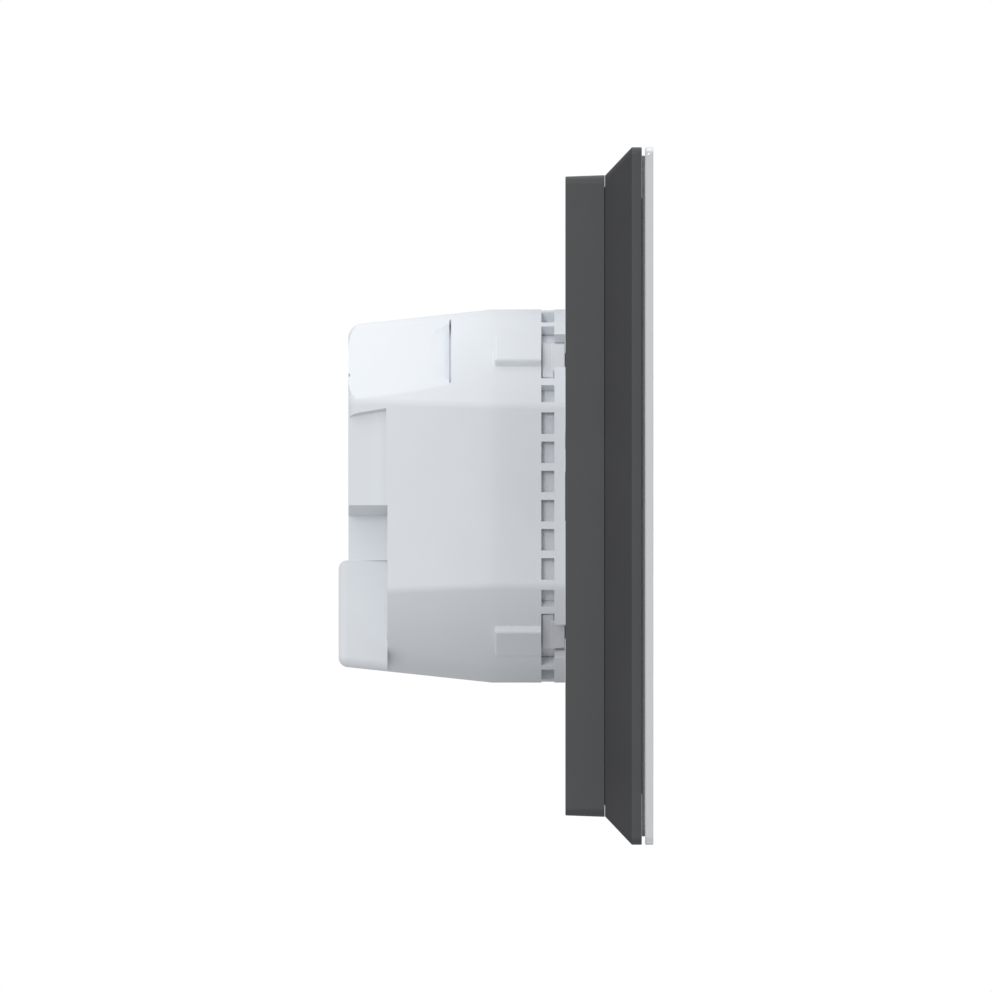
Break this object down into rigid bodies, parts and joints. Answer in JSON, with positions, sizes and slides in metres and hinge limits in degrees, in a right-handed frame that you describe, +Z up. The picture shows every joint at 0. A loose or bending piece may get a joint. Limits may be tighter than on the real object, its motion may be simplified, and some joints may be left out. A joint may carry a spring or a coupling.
{
  "type": "flush-mounted keypad panel",
  "caption": "Flat glass-fronted touch keypad for a wall, with a flared grey frame that plugs onto a vented white flush-box unit.",
  "frame": {"origin": "centre of the panel on the wall's surface, where the support ring's back rests", "axes": "+X across the panel, +Y into the wall, +Z up; the glass faces -Y"},
  "size_m": [0.1, 0.0451, 0.1],
  "materials": {
    "housing_white": "satin",
    "panel_grey": "satin",
    "front_glass": "gloss",
    "black_plastic": "matte",
    "grey_plastic": "matte",
    "pale_plastic": "matte",
    "circuit_board": "satin",
    "dark_component": "satin",
    "zinc_steel": "satin",
    "spring_steel": "polished",
    "contact_brass": "satin",
    "can_aluminium": "satin",
    "winding_copper": "satin",
    "flex_film": "satin",
    "diffuser_film": "matte"
  },
  "bodies": {
    "wall_unit": {"rear_housing": "housing_white", "inner_carrier": "housing_white", "support_ring": "zinc_steel", "ring_screw_1": "zinc_steel", "ring_screw_2": "zinc_steel", "ring_screw_3": "zinc_steel", "ring_screw_4": "zinc_steel", "interface_board": "circuit_board", "plug_header": "black_plastic", "header_pins": "contact_brass", "board_link": "contact_brass", "power_board": "circuit_board", "transformer": "black_plastic", "bulk_capacitor": "can_aluminium", "line_choke": "winding_copper", "terminal_block": "grey_plastic", "terminal_clamp_1": "contact_brass", "terminal_clamp_2": "contact_brass", "terminal_clamp_3": "contact_brass", "terminal_clamp_4": "contact_brass", "terminal_screw_1": "zinc_steel", "terminal_screw_2": "zinc_steel", "terminal_screw_3": "zinc_steel", "terminal_screw_4": "zinc_steel"},
    "front_panel": {"case_screw_1": "zinc_steel", "case_screw_2": "zinc_steel", "case_screw_3": "zinc_steel", "case_screw_4": "zinc_steel", "board_screw_1": "zinc_steel", "board_screw_2": "zinc_steel", "board_screw_3": "zinc_steel", "board_screw_4": "zinc_steel", "main_board": "circuit_board", "touch_board": "circuit_board", "board_socket": "black_plastic", "buzzer": "black_plastic", "tamper_switch": "black_plastic", "setup_switch": "black_plastic", "radio_module": "can_aluminium", "rear_cover": "panel_grey", "bezel_frame": "panel_grey", "glass_carrier": "panel_grey", "front_glass": "front_glass", "panel_clip_1": "spring_steel", "panel_clip_2": "spring_steel", "panel_clip_3": "spring_steel", "panel_clip_4": "spring_steel", "tamper_spring": "spring_steel", "light_guide": "pale_plastic", "display_holder": "pale_plastic", "legend_film": "diffuser_film", "display_module": "dark_component", "processor": "dark_component", "display_ribbon": "flex_film"},
    "terminal_cover": {"terminal_cover": "housing_white"},
    "tamper_plunger": {"tamper_plunger": "pale_plastic"},
    "setup_button": {"setup_button": "pale_plastic"}
  },
  "joints": [
    {"name": "panel_pull", "type": "slide", "parent": "wall_unit", "child": "front_panel", "axis": [0, -1, 0], "range_m": [0, 0.015]},
    {"name": "terminal_cover_slide", "type": "slide", "parent": "wall_unit", "child": "terminal_cover", "axis": [0, 1, 0], "range_m": [0, 0.01]},
    {"name": "tamper_press", "type": "slide", "parent": "front_panel", "child": "tamper_plunger", "axis": [0, -1, 0], "range_m": [0, 0.0015], "stiffness_N_per_m": 200, "deforming": ["tamper_spring"]},
    {"name": "setup_press", "type": "slide", "parent": "front_panel", "child": "setup_button", "axis": [0, -1, 0], "range_m": [0, 0.0004], "stiffness_N_per_m": 400}
  ]
}
